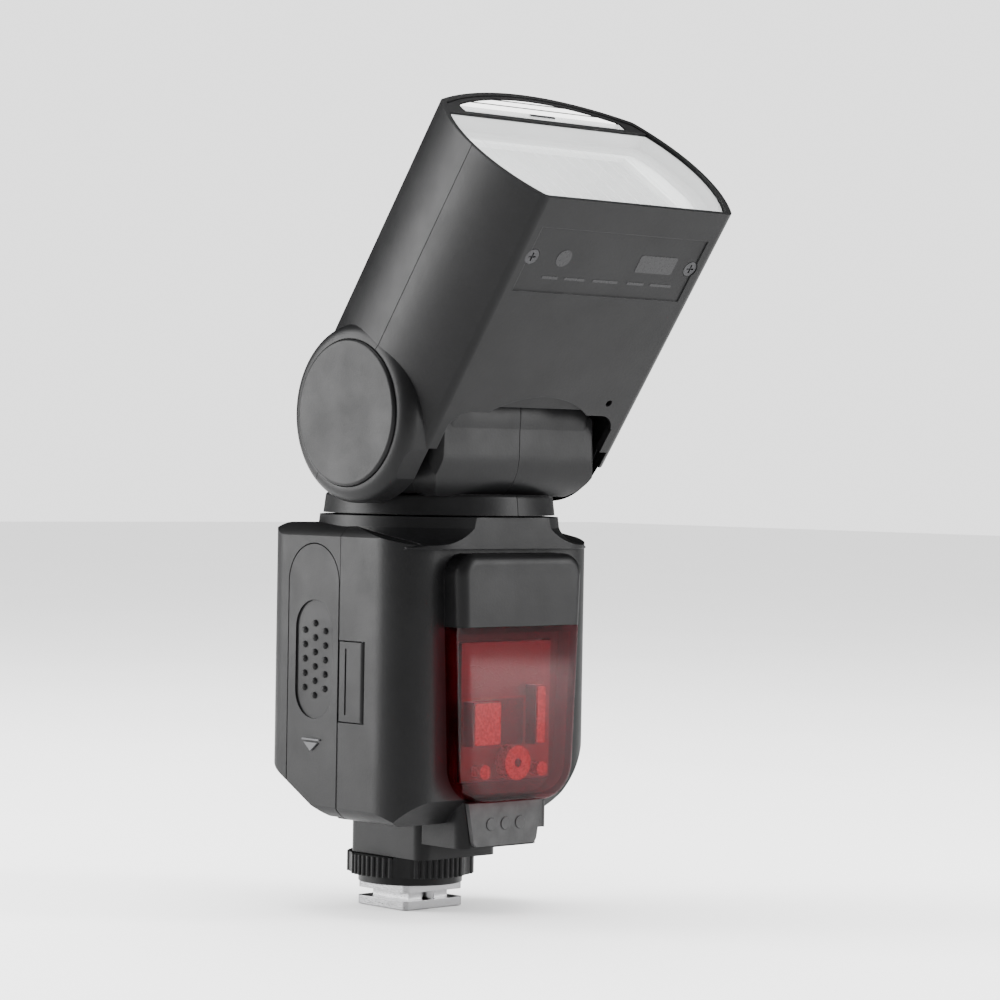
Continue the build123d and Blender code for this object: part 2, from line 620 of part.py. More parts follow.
def neck_solid():
    """Drum on the tilt axis, a riser under it, and the round foot that turns on the collar."""
    drum = bar_x(DRUM_RADIUS, -DRUM_HALF, DRUM_HALF, TILT_Y, TILT_Z)
    drum = fillet(drum.edges(), DRUM_ROUND)
    front = TILT_Y - DRUM_RADIUS
    rim = NECK_RIM_TOP - 0.3
    side_edges = (Line((front + 0.2, TILT_Z), (front + 0.3, 109.0))
                  + ThreePointArc((front + 0.3, 109.0), (-34.6, 103.4), (-30.4, rim))
                  + Polyline((-30.4, rim), (6.4, rim), (4.9, 100.7), (-1.0, 105.0), (-5.2, 107.5), (-12.0, TILT_Z),
                             (front + 0.2, TILT_Z)))
    side_plane = Plane(origin=(-DRUM_HALF, 0, 0), x_dir=(0, 1, 0), z_dir=(1, 0, 0))
    riser = extrude(side_plane * make_face(side_edges), amount=2 * DRUM_HALF)
    across = Pos(0, 115.0) * RectangleRounded(2 * DRUM_HALF, 2 * (115.0 - rim) + 1.0, 8.5)
    riser &= prism_xz(across, -60, 30)
    plan = Pos(0, -18.0) * RectangleRounded(2 * DRUM_HALF, 2 * (-front - 18.0), 3.5)
    riser &= Pos(0, 0, 90) * extrude(plan, amount=60)
    foot = Pos(0, PAN_Y, (NECK_BOTTOM + NECK_RIM_TOP) / 2) * Cone(
        NECK_RADIUS - 0.2, NECK_RADIUS - 0.8, NECK_RIM_TOP - NECK_BOTTOM)
    foot = fillet(foot.edges().group_by(Axis.Z)[-1], 0.8)
    return drum + riser + foot


def make_neck_halves():
    neck = neck_solid()
    neck -= bar_x(DRUM_RADIUS - 2.4, -DRUM_HALF + 2.3, DRUM_HALF - 2.3, TILT_Y, TILT_Z)
    neck -= post(HUB_RADIUS + 0.05, 0, PAN_Y, NECK_BOTTOM - 1, HUB_TOP + 0.1)
    neck -= post(WIRE_HOLE, 0, WIRE_Y, NECK_BOTTOM, HUB_TOP + 5)
    neck -= bar_x(AXLE_RADIUS, -40, 40, TILT_Y, TILT_Z)
    left = neck & block(-60, -0.06, -80, 60, 80, 160)
    right = neck & block(0.06, 60, -80, 60, 80, 160)
    return only_solid(left), only_solid(right)


def make_tilt_axles():
    axles = []
    for side in (-1, 1):
        ends = sorted((side * AXLE_INNER, side * AXLE_OUTER))
        wide = sorted((side * AXLE_INNER, side * (DRUM_HALF - 2.3)))
        axle = bar_x(AXLE_RADIUS, *ends, TILT_Y, TILT_Z) + bar_x(8.5, *wide, TILT_Y, TILT_Z)
        axles.append(axle - bar_x(3.2, -60, 60, TILT_Y, TILT_Z))
    return group(axles)


def make_friction_washers():
    washers = []
    for side in (-1, 1):
        ends = sorted((side * 29.15, side * 30.5))
        nut = sorted((side * 30.5, side * AXLE_OUTER))
        washer = bar_x(11.5, *ends, TILT_Y, TILT_Z)
        washer += bar_x(8.6, *nut, TILT_Y, TILT_Z)
        washers.append(washer - bar_x(AXLE_RADIUS, -60, 60, TILT_Y, TILT_Z))
    return group(washers)


def make_pan_ring():
    """Bearing ring that clamps the neck to the collar from below, with detent notches."""
    ring = tube(15.5, 10.5, RING_FLOOR, RING_SEAT_TOP - 0.1, 0, PAN_Y)
    ring += tube(HUB_RADIUS, 10.5, RING_FLOOR, HUB_TOP, 0, PAN_Y)
    for index in range(24):
        ring -= Pos(0, PAN_Y, 0) * Rot(0, 0, index * 15) * post(0.7, 15.5, 0, 80, 95)
    return ring


def make_collar():
    collar = only_solid(collar_solid() - body_solid())
    collar -= post(12.6, 0, PAN_Y, 80, 100)
    return collar - post(16.0, 0, PAN_Y, 80, RING_SEAT_TOP)


# ============================================================ head

HEAD_PLANE = Plane(
    origin=(0, TILT_Y, TILT_Z), x_dir=(1, 0, 0),
    z_dir=(0, -cos(radians(REST_TILT)), sin(radians(REST_TILT))))


def tilted(shape):
    """Carry a shape drawn in the head's own frame to where the head rests."""
    return HEAD_PLANE.location * shape


def head_outline(inset=0.0):
    """Across the head: flat underside, bulging sides and a crowned top."""
    low, high, crown = HEAD_UNDER + inset, HEAD_TOP_EDGE - inset, HEAD_CROWN - inset
    under, seam, top = HALF_UNDER - inset, HALF_SEAM - inset, HALF_TOP - inset
    edges = (Line((-under, low), (under, low))
             + ThreePointArc((under, low), (seam, HEAD_SEAM), (top, high))
             + ThreePointArc((top, high), (0, crown), (-top, high))
             + ThreePointArc((-top, high), (-seam, HEAD_SEAM), (-under, low)))
    face = make_face(edges)
    return fillet(face.vertices(), max(2.4 - inset * 0.5, 0.6))


def side_region(inset=0.0, front=HEAD_LENGTH):
    """Side view of the head: straight in front of the pivot, round above and behind it."""
    radius = HEAD_CROWN - inset
    tip_radius = REAR_TIP_RADIUS - inset
    tip = (tip_radius * cos(REAR_END), tip_radius * sin(REAR_END))
    mid_angle = (REAR_END + pi / 2) / 2
    mid_radius = HEAD_CROWN - 1.2 - inset
    middle = (mid_radius * cos(mid_angle), mid_radius * sin(mid_angle))
    edges = (Polyline((front, radius), (front, HEAD_UNDER + inset), (0, HEAD_UNDER + inset), (0, 0), tip)
             + ThreePointArc(tip, middle, (0, radius)) + Line((0, radius), (front, radius)))
    plane = Plane(origin=(-40, 0, 0), x_dir=(0, 0, 1), z_dir=(-1, 0, 0))
    return extrude(plane * make_face(edges), amount=80, dir=(1, 0, 0))


def head_solid(inset=0.0, front=HEAD_LENGTH):
    prism = Pos(0, 0, -40) * extrude(head_outline(inset), amount=120)
    return prism & side_region(inset, front)


def disc_x(radius, x0, x1):
    """Cylinder on the tilt axis, in the head's frame."""
    return bar_x(radius, x0, x1, 0, 0)


def left_cheek():
    """Boss with a wide round rim, level with the head's underside in front."""
    boss = disc_x(CHEEK_RADIUS, -CHEEK_X, -NECK_ROOM)
    boss = fillet(boss.edges().group_by(Axis.X)[0], CHEEK_ROUND)
    return boss & block(-60, 60, HEAD_UNDER, 60, -60, 60)


def right_cheek():
    """Lower boss that slopes in towards its cap."""
    height = CHEEK_X - DOME_EDGE_X
    slope = Pos(DOME_EDGE_X + height / 2, 0, 0) * Rot(0, 90, 0) * Cone(DOME_RADIUS, DOME_TOP_RADIUS, height)
    return slope + disc_x(DOME_RADIUS, NECK_ROOM, DOME_EDGE_X)


def swept_by_foot():
    """Side view of the sector of the head that comes past the neck's round foot as it tilts."""
    end = radians(128)
    edges = Polyline((4.5, -60), (4.5, 0), (0, 0), (60 * cos(end), 60 * sin(end)), (-60, 50), (-60, -60), close=True)
    plane = Plane(origin=(-40, 0, 0), x_dir=(0, 0, 1), z_dir=(-1, 0, 0))
    return extrude(plane * make_face(edges), amount=80, dir=(1, 0, 0))


def notch(radius, low, high):
    """Round slab about the pan axis, as it stands with the head level, in front of the pivot."""
    return bar_y(radius, 0, low, high, PAN_Y_AHEAD) & block(-NECK_ROOM, NECK_ROOM, -60, 60, 0, 60)


def make_head_shells():
    hollow = head_solid(HEAD_WALL, HEAD_LENGTH + 5)
    cheek_zone = disc_x(CHEEK_RADIUS - 0.5, -60, 60) - disc_x(CHEEK_RADIUS - 0.5, -28.3, 28.3)
    solid = head_solid() + left_cheek() + right_cheek() - (hollow - cheek_zone)
    solid -= Pos(0, 0, BEZEL_BACK - 0.05) * extrude(head_outline(RIM_WALL), amount=10)
    # shallow recess that lets the underside come down over the neck's round foot
    solid += notch(NOTCH_RADIUS + HEAD_WALL, HEAD_UNDER + 0.5, NOTCH_ROOF + HEAD_WALL)
    solid -= notch(NOTCH_RADIUS, HEAD_UNDER - 4, NOTCH_ROOF)
    # room for the neck: drum, riser and round foot, over the whole tilt
    solid -= disc_x(DRUM_RADIUS + 0.5, -NECK_ROOM, NECK_ROOM)
    solid -= disc_x(RISER_REACH, -NECK_ROOM, NECK_ROOM) & block(-30, 30, -60, 3.0, -60, 60)
    foot_sweep = disc_x(26.5, -28.5, 28.5) - disc_x(17.7, -28.5, 28.5)
    solid -= foot_sweep & swept_by_foot()
    opening = RectangleRounded(2 * NECK_ROOM, 2 * CUT_OUT_U, 5.5)
    plane = Plane(origin=(0, HEAD_UNDER - 3, 0), x_dir=(1, 0, 0), z_dir=(0, 1, 0))
    solid -= extrude(plane * opening, amount=9.0)
    # pivot: bearing hole, washer pocket and cap seat
    solid -= disc_x(AXLE_RADIUS + 0.05, -60, 60)
    for side, radius in CAP_RADII.items():
        solid -= disc_x(min(radius - 1.0, 15.0), *sorted((side * 29.0, side * 40.0)))
        solid -= disc_x(radius + 0.15, *sorted((side * 34.5, side * 40.0)))
    # shallow label field and screw seats on the underside
    solid -= block(-26.5, 26.5, HEAD_UNDER - 1, HEAD_UNDER + 0.25, 47.7, 64.4)
    for x in HEAD_SCREW_X:
        solid -= bar_y(2.0, x, HEAD_UNDER - 1, HEAD_UNDER + 1.0, HEAD_SCREW_U)
        solid -= bar_y(0.9, x, HEAD_UNDER - 1, -12, HEAD_SCREW_U)
    solid -= bar_y(0.9, 21.0, HEAD_UNDER - 1, HEAD_UNDER + 3, 18.6)
    top = solid & block(-60, 60, HEAD_SEAM + 0.06, 60, -60, 90)
    bottom = solid & block(-60, 60, -60, HEAD_SEAM - 0.06, -60, 90)
    return only_solid(top), only_solid(bottom)


def make_head_screws():
    screws = []
    for x in HEAD_SCREW_X:
        screw = bar_y(1.9, x, HEAD_UNDER + 0.2, HEAD_UNDER + 0.95, HEAD_SCREW_U)
        screw += bar_y(0.85, x, HEAD_UNDER + 0.9, -13, HEAD_SCREW_U)
        low, high = HEAD_SCREW_U - 1.1, HEAD_SCREW_U + 1.1
        cross = block(x - 0.22, x + 0.22, -30, HEAD_UNDER + 0.55, low, high)
        cross += block(x - 1.1, x + 1.1, -30, HEAD_UNDER + 0.55, HEAD_SCREW_U - 0.22, HEAD_SCREW_U + 0.22)
        screws.append(screw - cross)
    return group(screws)


def make_cap(side):
    cap = disc_x(CAP_RADII[side], *sorted((side * 34.6, side * CAP_X)))
    rim = cap.edges().group_by(Axis.X)[-1 if side > 0 else 0]
    return fillet(rim, 0.7)


def lens_region(inset, top):
    """Outline of the head up to a straight upper edge."""
    return head_outline(inset) & Pos(0, top - 50) * Rectangle(100, 100)


def card_lip_face(grow):
    """Outline of the bounce card's thick front lip, under the crown of the head."""
    low = CARD_LIP_LOW - grow
    return head_outline(CARD_LIP_INSET - grow) & Pos(0, low + 50) * Rectangle(2 * CARD_LIP_HALF + 2 * grow, 100)


def make_bezel():
    """Frame round the lens, with the slots for the wide panel and the bounce card above it."""
    frame = extrude(head_outline(RIM_WALL + 0.05), amount=HEAD_LENGTH - BEZEL_BACK - 0.3)
    frame -= Pos(0, 0, 0.9) * extrude(lens_region(RIM_WALL - 0.6, LENS_EDGE_TOP - 0.2), amount=10)
    frame -= Pos(0, 0, -1) * extrude(lens_region(LENS_LEDGE, LENS_EDGE_TOP - 1.7), amount=10)
    frame = Pos(0, 0, BEZEL_BACK) * frame
    frame -= block(-PANEL_HALF - 0.4, PANEL_HALF + 0.4, PANEL_V[0] - 0.25, PANEL_V[1] + 0.25, 50, 80)
    frame -= block(-CARD_HALF - 0.4, CARD_HALF + 0.4, CARD_V[0] - 0.25, CARD_V[1] + 0.25, 50, 80)
    frame -= block(-PANEL_HALF - 0.4, PANEL_HALF + 0.4, PANEL_LIP[0] - 0.25, PANEL_LIP[1] + 0.25,
                   LIP_BACK - 0.3, 80)
    return frame - Pos(0, 0, LIP_BACK - 0.3) * extrude(card_lip_face(0.3), amount=10)


def make_lens():
    """Clear flash lens with shallow ribs on its inner face."""
    lens = Pos(0, 0, BEZEL_BACK + 1.0) * extrude(
        lens_region(RIM_WALL + 0.25, LENS_EDGE_TOP - 0.3), amount=3.4)
    for index in range(-5, 6):
        groove = Pos(index * 4.6, -1.0, BEZEL_BACK + 0.95) * Rot(0, 45, 0) * Box(0.5, 25, 0.5)
        lens -= groove
    return lens


def make_wide_panel():
    """Thin diffuser sheet with a thick front lip and a groove for the fingernail."""
    panel = block(-PANEL_HALF, PANEL_HALF, *PANEL_V, 34.0, HEAD_LENGTH - 0.5)
    panel += block(-PANEL_HALF, PANEL_HALF, *PANEL_LIP, LIP_BACK, HEAD_LENGTH - 0.5)
    return panel - block(-5.0, 5.0, PANEL_LIP[1] - 0.7, PANEL_LIP[1] + 1, LIP_BACK + 0.4, HEAD_LENGTH - 0.9)


def make_bounce_card():
    card = block(-CARD_HALF, CARD_HALF, *CARD_V, 30.0, HEAD_LENGTH - 0.6)
    return card + Pos(0, 0, LIP_BACK + 0.3) * extrude(card_lip_face(0.0), amount=1.0)


def make_reflector():
    """Metal trough that widens from the flash tube to its mouth."""
    def trough(grow):
        back = Pos(0, TUBE_V, TUBE_U - 4.0) * Rectangle(40 + 2 * grow, 7 + 2 * grow)
        front = Pos(0, TUBE_V, MOUTH_U) * Rectangle(46 + 2 * grow, 27 + 2 * grow)
        return loft([back, front])
    reflector = trough(0.7) - trough(0.0)
    closing = block(-20.7, 20.7, -5.4, 3.0, TUBE_U - 4.7, TUBE_U - 4.0)
    return reflector + closing - bar_x(2.25, -40, 40, TUBE_V, TUBE_U)


def make_flash_tube():
    return bar_x(2.2, -22.5, 22.5, TUBE_V, TUBE_U)


def make_carriage():
    """Moulded frame behind the reflector, with guide ears for the rods and a nut for the screw."""
    frame = block(-23.0, 23.0, -9.0, 7.0, CARRIAGE_BACK, TUBE_U - 4.75)
    for side in (-1, 1):
        ear = sorted((side * 21.0, side * (ROD_X + 1.9)))
        frame += block(*ear, ROD_V - 1.9, -7.0, CARRIAGE_BACK, CARRIAGE_FRONT)
        end = sorted((side * 21.6, side * 23.0))
        frame += block(*end, -4.2, 1.8, TUBE_U - 4.8, TUBE_U + 2.0)
    frame += block(21.0, SCREW_X + 2.6, 5.0, SCREW_V + 2.6, CARRIAGE_BACK, TUBE_U - 4.75)
    for side in (-1, 1):
        frame -= post(1.06, side * ROD_X, ROD_V, 0, 80)
    frame -= post(1.6, SCREW_X, SCREW_V, 0, 80)
    return frame - bar_x(2.2, -40, 40, TUBE_V, TUBE_U)


def make_guide_rods():
    return group(post(1.0, side * ROD_X, ROD_V, 24.0, 64.0) for side in (-1, 1))


def make_lead_screw():
    """Threaded rod, its thread shown as rings."""
    screw = post(1.2, SCREW_X, SCREW_V, 24.4, 55.9)
    for index in range(22):
        screw += post(1.5, SCREW_X, SCREW_V, 26.0 + index * 1.3, 26.65 + index * 1.3)
    return screw


def make_zoom_motor():
    motor = post(4.0, SCREW_X - 0.6, SCREW_V, 56.0, 65.0)
    return fillet(motor.edges(), 0.5)


def make_head_board():
    board = block(-22.0, 22.0, 15.4, 16.8, 25.0, 52.0)
    board += block(-18.0, -8.0, 12.6, 15.5, 25.5, 37.0) + bar_x(2.4, 2.0, 16.0, 13.2, 29.0)
    return board


# ============================================================ assembly

front_shell, rear_shell = make_shells()
neck_left, neck_right = make_neck_halves()
head_top, head_bottom = make_head_shells()

parts = {
    "foot_plate": make_foot(),
    "foot_contacts": make_contacts(),
    "contact_block": make_contact_block(),
    "pressure_plate": make_pressure_plate(),
    "lock_ring": make_lock_ring(),
    "lock_pin": make_lock_pin(),
    "body_front_shell": front_shell,
    "body_rear_shell": rear_shell,
    "shoulder_collar": make_collar(),
    "front_window": make_window(),
    "assist_board": make_assist_board(),
    "assist_lenses": make_assist_lenses(),
    "power_socket": make_socket(),
    "socket_cover": make_socket_cover(),
    "base_block": make_base_block(),
    "case_screws": make_screws(),
    "battery_box": make_battery_box(),
    "battery_cells": make_cells(),
    "battery_springs": make_contacts_rear(),
    "battery_door": make_door(),
    "door_contact_strip": make_door_contact(),
    "door_hinge_leaf": make_hinge_leaf(),
    "door_hinge_pin": make_hinge_pin(),
    "main_board": make_main_board(),
    "display_module": make_display(),
    "display_window": make_display_window(),
    "control_dial": make_dial(),
    "set_button": make_set_button(),
    "power_switch": make_power_switch(),
    "main_capacitor": make_capacitor(),
    "step_up_transformer": make_transformer(),
    "side_sockets": make_side_sockets(),
    "side_port_cover": make_side_cover(),
    "neck_left_half": neck_left,
    "neck_right_half": neck_right,
    "tilt_axles": make_tilt_axles(),
    "friction_washers": make_friction_washers(),
    "pan_bearing_ring": make_pan_ring(),
}
for number, x in enumerate(FUNCTION_X, start=1):
    parts[f"function_button_{number}"] = make_function_button(x)
for name, (x, z) in ROUND_KEYS.items():
    parts[name] = make_round_key(x, z)

head_parts = {
    "head_top_shell": head_top,
    "head_bottom_shell": head_bottom,
    "pivot_cap_left": make_cap(-1),
    "pivot_cap_right": make_cap(1),
    "head_screws": make_head_screws(),
    "front_bezel": make_bezel(),
    "fresnel_lens": make_lens(),
    "wide_panel": make_wide_panel(),
    "bounce_card": make_bounce_card(),
    "reflector": make_reflector(),
    "flash_tube": make_flash_tube(),
    "zoom_carriage": make_carriage(),
    "guide_rods": make_guide_rods(),
    "lead_screw": make_lead_screw(),
    "zoom_motor": make_zoom_motor(),
    "head_board": make_head_board(),
}
for name, shape in head_parts.items():
    parts[name] = tilted(shape)

os.makedirs("parts", exist_ok=True)
for name, shape in parts.items():
    export_step(shape, f"parts/{name}.step")
print(len(parts), "nodes written")
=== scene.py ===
"""Looks of the speedlight flash: materials, fine surface detail, light and camera.

Everything is in metres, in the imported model's frame: +Z is up, the flash faces -Y, and the origin
is the centre of the hot-shoe foot's underside. Lengths named in MM are multiplied by it.
"""
import json
import math

import bmesh
import bpy
from mathutils import Matrix, Vector


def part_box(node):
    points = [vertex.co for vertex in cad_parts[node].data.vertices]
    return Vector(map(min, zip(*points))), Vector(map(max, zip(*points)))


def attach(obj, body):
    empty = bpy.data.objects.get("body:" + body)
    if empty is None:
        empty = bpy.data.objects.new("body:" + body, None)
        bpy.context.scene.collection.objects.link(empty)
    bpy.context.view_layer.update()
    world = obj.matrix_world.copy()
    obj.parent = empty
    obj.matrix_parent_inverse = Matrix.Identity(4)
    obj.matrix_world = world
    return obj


MM = 0.001
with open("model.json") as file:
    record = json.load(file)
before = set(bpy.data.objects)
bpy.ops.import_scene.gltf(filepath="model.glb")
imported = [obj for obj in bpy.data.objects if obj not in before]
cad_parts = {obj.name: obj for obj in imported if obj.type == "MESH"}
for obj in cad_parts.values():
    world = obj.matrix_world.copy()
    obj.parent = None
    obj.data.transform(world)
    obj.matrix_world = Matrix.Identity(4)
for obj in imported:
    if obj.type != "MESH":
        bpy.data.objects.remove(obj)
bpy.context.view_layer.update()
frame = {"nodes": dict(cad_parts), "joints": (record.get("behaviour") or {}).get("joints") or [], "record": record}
nodes = frame["nodes"]
joints = {joint["name"]: joint for joint in frame["joints"]}
slot_of = {part["node"]: part["material_slot"] for part in frame["record"]["subparts"]}


# ================================================================== places read from the frame

class Place:
    """A local frame: a point, its right-hand axes, and lengths in millimetres along them."""

    def __init__(self, origin, across, up, out):
        self.origin, self.across, self.up, self.out = (Vector(v) for v in (origin, across, up, out))

    def __call__(self, x, y, z=0.0):
        return self.origin + (self.across * x + self.up * y + self.out * z) * MM


TILT_PIVOT = Vector(joints["head_tilt"]["pos_m"])
HEAD_AHEAD = Vector(joints["zoom_travel"]["axis"]).normalized()      # towards the flash lens
HEAD_UP = Vector((0, HEAD_AHEAD.z, -HEAD_AHEAD.y))                   # out of the head's top
RIGHT = Vector((1, 0, 0))


def head_extent(node, axis):
    """Lowest and highest reach of a node along one of the head's axes, in millimetres from the pivot."""
    reach = [(vertex.co - TILT_PIVOT).dot(axis) / MM for vertex in nodes[node].data.vertices]
    return min(reach), max(reach)


HEAD_UNDER = head_extent("head_bottom_shell", HEAD_UP)[0]
HEAD_RIM = head_extent("head_top_shell", HEAD_AHEAD)[1]
LENS_BACK = head_extent("fresnel_lens", HEAD_AHEAD)[0]
LENS_LOW, LENS_HIGH = head_extent("fresnel_lens", HEAD_UP)
LENS_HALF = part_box("fresnel_lens")[1].x / MM

on_lens = Place(TILT_PIVOT, RIGHT, HEAD_UP, HEAD_AHEAD)              # x across, y up, z ahead
under_head = Place(TILT_PIVOT + HEAD_UP * HEAD_UNDER * MM, RIGHT, HEAD_AHEAD, -HEAD_UP)


# ================================================================== material helper

class Shader:
    """Builds one node material round a Principled shader."""

    def __init__(self, name):
        self.material = bpy.data.materials.new(name)
        self.material.use_nodes = True
        self.tree = self.material.node_tree
        self.principled = self.tree.nodes["Principled BSDF"]
        self.place = self.node("TexCoord").outputs["Object"]

    def node(self, kind, **values):
        node = self.tree.nodes.new("ShaderNode" + kind)
        for key, value in values.items():
            if key in node.inputs:
                node.inputs[key].default_value = value
            else:
                setattr(node, key, value)
        return node

    def link(self, source, target):
        self.tree.links.new(source, target)

    def set(self, **values):
        """Plain values, such as Base_Color, straight on the Principled shader."""
        for key, value in values.items():
            self.principled.inputs[key.replace("_", " ")].default_value = value
        return self

    def stretched(self, scale):
        mapping = self.node("Mapping")
        mapping.inputs["Scale"].default_value = scale
        self.link(self.place, mapping.inputs["Vector"])
        return mapping.outputs["Vector"]

    def noise(self, scale, detail=2.0, roughness=0.5, stretch=None):
        noise = self.node("TexNoise", Scale=scale, Detail=detail, Roughness=roughness)
        self.link(self.stretched(stretch) if stretch else self.place, noise.inputs["Vector"])
        return noise.outputs["Fac"]

    def cells(self, scale, feature="F1", stretch=None):
        cells = self.node("TexVoronoi", Scale=scale)
        cells.feature = feature
        self.link(self.stretched(stretch) if stretch else self.place, cells.inputs["Vector"])
        return cells.outputs["Distance"]

    def remap(self, value, low, high, start=0.3, end=0.7):
        node = self.node("MapRange")
        for socket, amount in (("From Min", start), ("From Max", end), ("To Min", low), ("To Max", high)):
            node.inputs[socket].default_value = amount
        self.link(value, node.inputs["Value"])
        return node.outputs["Result"]

    def ramp(self, value, stops):
        node = self.node("ValToRGB")
        elements = node.color_ramp.elements
        while len(elements) < len(stops):
            elements.new(0.5)
        for element, (position, colour) in zip(elements, stops):
            element.position = position
            element.color = (*colour, 1.0)
        self.link(value, node.inputs["Fac"])
        return node.outputs["Color"]

    def mix(self, share, first, second):
        node = self.node("Mix", data_type="RGBA")
        self.link(share, node.inputs["Factor"])
        for name, colour in (("A", first), ("B", second)):
            socket = [entry for entry in node.inputs if entry.name == name and entry.type == "RGBA"][0]
            if isinstance(colour, tuple):
                socket.default_value = (*colour, 1.0)
            else:
                self.link(colour, socket)
        return [entry for entry in node.outputs if entry.type == "RGBA"][0]

    def math(self, operation, first, second=None):
        node = self.node("Math", operation=operation)
        for index, value in enumerate((first, second)):
            if isinstance(value, (int, float)):
                node.inputs[index].default_value = value
            elif value is not None:
                self.link(value, node.inputs[index])
        return node.outputs["Value"]

    def rounded_edges(self, radius):
        node = self.node("Bevel", samples=4)
        node.inputs["Radius"].default_value = radius
        return node.outputs["Normal"]

    def edge_mask(self, radius):
        """1 on sharp edges and 0 on flat faces, from how far the rounded normal leans away."""
        plain = self.node("NewGeometry").outputs["Normal"]
        lean = self.node("VectorMath", operation="DOT_PRODUCT")
        self.link(self.rounded_edges(radius), lean.inputs[0])
        self.link(plain, lean.inputs[1])
        return self.remap(lean.outputs["Value"], 1.0, 0.0, 0.90, 0.995)

    def bump(self, value, strength, distance, under=None):
        node = self.node("Bump", Strength=strength, Distance=distance)
        self.link(value, node.inputs["Height"])
        if under is not None:
            self.link(under, node.inputs["Normal"])
        return node.outputs["Normal"]

    def see_through(self, tint, share):
        """Let part of the light straight through, tinted, and leave the rest to the glossy skin."""
        clear = self.node("BsdfTransparent", Color=(*tint, 1.0))
        blend = self.node("MixShader")
        blend.inputs[0].default_value = share
        self.link(self.principled.outputs["BSDF"], blend.inputs[1])
        self.link(clear.outputs["BSDF"], blend.inputs[2])
        self.link(blend.outputs["Shader"], self.tree.nodes["Material Output"].inputs["Surface"])
        return self

    def colour(self, output):
        self.link(output, self.principled.inputs["Base Color"])
        return self

    def rough(self, output):
        self.link(output, self.principled.inputs["Roughness"])
        return self

    def normal(self, output):
        self.link(output, self.principled.inputs["Normal"])
        return self


# ================================================================== materials

def moulded_plastic(name, dark, light, rough, grain=4200.0, depth=0.00005, edge=0.00022):
    """Spark-eroded plastic: fine grain, faint clouding, edges rubbed a little smoother and paler."""
    shader = Shader(name)
    clouds = shader.ramp(shader.noise(55.0, 4.0, 0.6), [(0.3, dark), (0.75, light)])
    edges = shader.edge_mask(edge * 1.6)
    worn = shader.math("MULTIPLY", edges, shader.remap(shader.noise(240.0, 3.0), 0.05, 0.6, 0.4, 0.75))
    pale = tuple(channel * 2.4 for channel in light)
    shader.colour(shader.mix(worn, clouds, pale))
    patches = shader.remap(shader.noise(95.0, 5.0, 0.65), rough - 0.04, rough + 0.06)
    shader.rough(shader.math("SUBTRACT", patches, shader.math("MULTIPLY", worn, 0.12)))
    coarse = shader.bump(shader.noise(grain / 3.0, 2.0, 0.5), 0.25, depth * 1.5, shader.rounded_edges(edge))
    shader.normal(shader.bump(shader.noise(grain, 2.0, 0.6), 0.35, depth, coarse))
    return shader.set(Specular_IOR_Level=0.11).material


def moulded_rubber(name):
    shader = Shader(name)
    dust = shader.noise(130.0, 6.0, 0.7)
    shader.colour(shader.ramp(dust, [(0.35, (0.010, 0.010, 0.0105)), (0.8, (0.018, 0.018, 0.0185))]))
    shader.rough(shader.remap(shader.noise(300.0, 3.0), 0.55, 0.72))
    skin = shader.bump(shader.noise(3000.0, 3.0, 0.7), 0.3, 0.00005, shader.rounded_edges(0.0003))
    shader.normal(skin)
    return shader.set(Specular_IOR_Level=0.35).material


def brushed_metal(name, dark, light, rough, stretch, scratch=0.00002):
    """Metal with fine lines along one axis, scuffs where it slides, and bright edges."""
    shader = Shader(name)
    lines = shader.noise(900.0, 3.0, 0.6, stretch)
    shader.colour(shader.ramp(lines, [(0.3, dark), (0.7, light)]))
    scuffs = shader.remap(shader.cells(700.0, stretch=stretch), 0.0, 0.10, 0.05, 0.4)
    shader.rough(shader.math("ADD", shader.remap(lines, rough - 0.06, rough + 0.08), scuffs))
    shader.normal(shader.bump(lines, 0.25, scratch, shader.rounded_edges(0.00012)))
    return shader.set(Metallic=1.0).material


def gold_contact(name):
    shader = Shader(name)
    rub = shader.noise(1500.0, 3.0, 0.6)
    shader.colour(shader.ramp(rub, [(0.35, (0.60, 0.42, 0.16)), (0.7, (0.86, 0.68, 0.34))]))
    shader.rough(shader.remap(rub, 0.30, 0.14))
    shader.normal(shader.bump(rub, 0.2, 0.00001, shader.rounded_edges(0.0001)))
    return shader.set(Metallic=1.0).material


def clear_red(name):
    """Polished red acrylic: see-through, with moulding ripple and hair scratches in its gloss."""
    shader = Shader(name)
    depth = shader.noise(40.0, 3.0, 0.5)
    shader.colour(shader.ramp(depth, [(0.3, (0.012, 0.001, 0.002)), (0.75, (0.020, 0.002, 0.003))]))
    shader.rough(shader.remap(shader.noise(600.0, 5.0, 0.7), 0.05, 0.09))
    shader.normal(shader.bump(shader.noise(25.0, 1.0), 0.02, 0.00003))
    shader.set(IOR=1.6, Specular_IOR_Level=0.6, Coat_Weight=0.5, Coat_Roughness=0.03)
    return shader.see_through((0.88, 0.32, 0.39), 0.86).material


def red_lens(name):
    shader = Shader(name)
    rings = shader.cells(1800.0)
    shader.colour(shader.ramp(rings, [(0.1, (0.13, 0.006, 0.020)), (0.6, (0.20, 0.011, 0.034))]))
    shader.rough(shader.remap(rings, 0.12, 0.28, 0.0, 0.6))
    shader.normal(shader.bump(rings, 0.3, 0.00006, shader.rounded_edges(0.0004)))
    return shader.set(Coat_Weight=0.6).material


